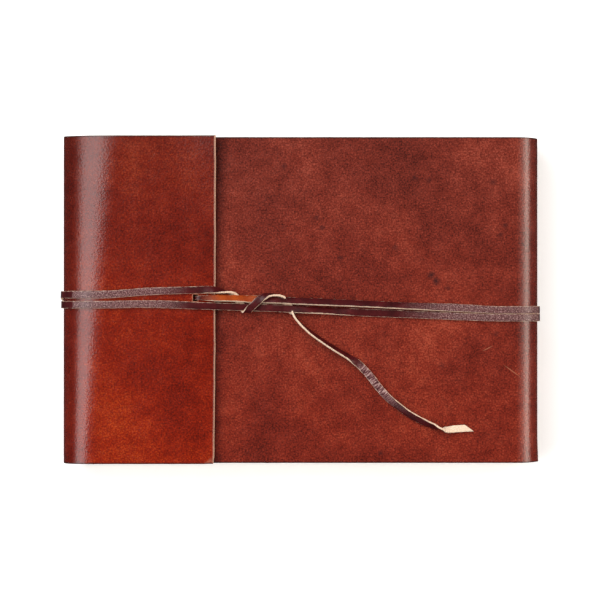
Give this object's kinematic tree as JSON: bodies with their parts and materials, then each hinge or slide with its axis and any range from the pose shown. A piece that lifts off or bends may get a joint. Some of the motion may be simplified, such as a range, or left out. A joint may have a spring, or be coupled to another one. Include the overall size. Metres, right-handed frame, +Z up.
{
  "type": "leather notebook cover",
  "caption": "Limp brown leather notebook cover with a wrap-over flap, sewn paper block and a flat leather lace tied twice around.",
  "frame": {"origin": "middle of the closed book's footprint, on the face it lies on", "axes": "+X from the rolled fore edge to the spine, +Y from tail to head, +Z up out of the front cover"},
  "size_m": [0.2249, 0.1534, 0.0313],
  "materials": {
    "cover_leather": "pebbled, semi-matt, mottled brown-red",
    "flap_leather": "smooth, satin, burnished orange-red",
    "lace_leather": "dark oxblood grain, pale cut edges and flesh side",
    "page_paper": "uncoated cream",
    "lining_cloth": "open cotton cloth, glued",
    "sewing_thread": "waxed linen thread"
  },
  "bodies": {
    "back": {"back_cover": "cover_leather", "spine_lower": "cover_leather", "spine_lining_lower": "lining_cloth", "endpaper_back": "page_paper", "section_1": "page_paper", "section_2": "page_paper", "section_3": "page_paper", "section_4": "page_paper", "section_5_lower": "page_paper", "stitch_1": "sewing_thread", "stitch_2": "sewing_thread", "stitch_3": "sewing_thread", "stitch_4": "sewing_thread", "stitch_5": "sewing_thread"},
    "front": {"front_cover": "cover_leather", "spine_upper": "cover_leather", "spine_lining_upper": "lining_cloth", "endpaper_front": "page_paper", "section_5_upper": "page_paper", "section_6": "page_paper", "section_7": "page_paper", "section_8": "page_paper", "section_9": "page_paper"},
    "fore_edge": {"fore_edge_roll": "flap_leather"},
    "flap": {"flap": "flap_leather", "lace_end": "lace_leather", "lace_turn_1": "lace_leather", "lace_turn_2": "lace_leather", "lace_hitch": "lace_leather", "lace_tail": "lace_leather"}
  },
  "joints": [
    {"name": "book_open", "type": "hinge", "parent": "back", "child": "front", "pos_m": [0.11115, 0, 0.0132], "axis": [0, 1, 0], "range_deg": [0, 180]},
    {"name": "fore_edge_fold", "type": "hinge", "parent": "back", "child": "fore_edge", "pos_m": [-0.10754, 0, 0.00346], "axis": [0, -1, 0], "range_deg": [0, 90], "deforming": ["fore_edge_roll"]},
    {"name": "flap_fold", "type": "hinge", "parent": "fore_edge", "child": "flap", "pos_m": [-0.10754, 0, 0.02574], "axis": [0, -1, 0], "range_deg": [0, 90], "deforming": ["flap", "lace_end", "lace_turn_1", "lace_turn_2", "lace_hitch", "lace_tail"]}
  ],
  "couplings": [
    {"joint": "fore_edge_fold", "follows": "book_open", "ratio": 0.5},
    {"joint": "flap_fold", "follows": "book_open", "ratio": 0.5}
  ]
}
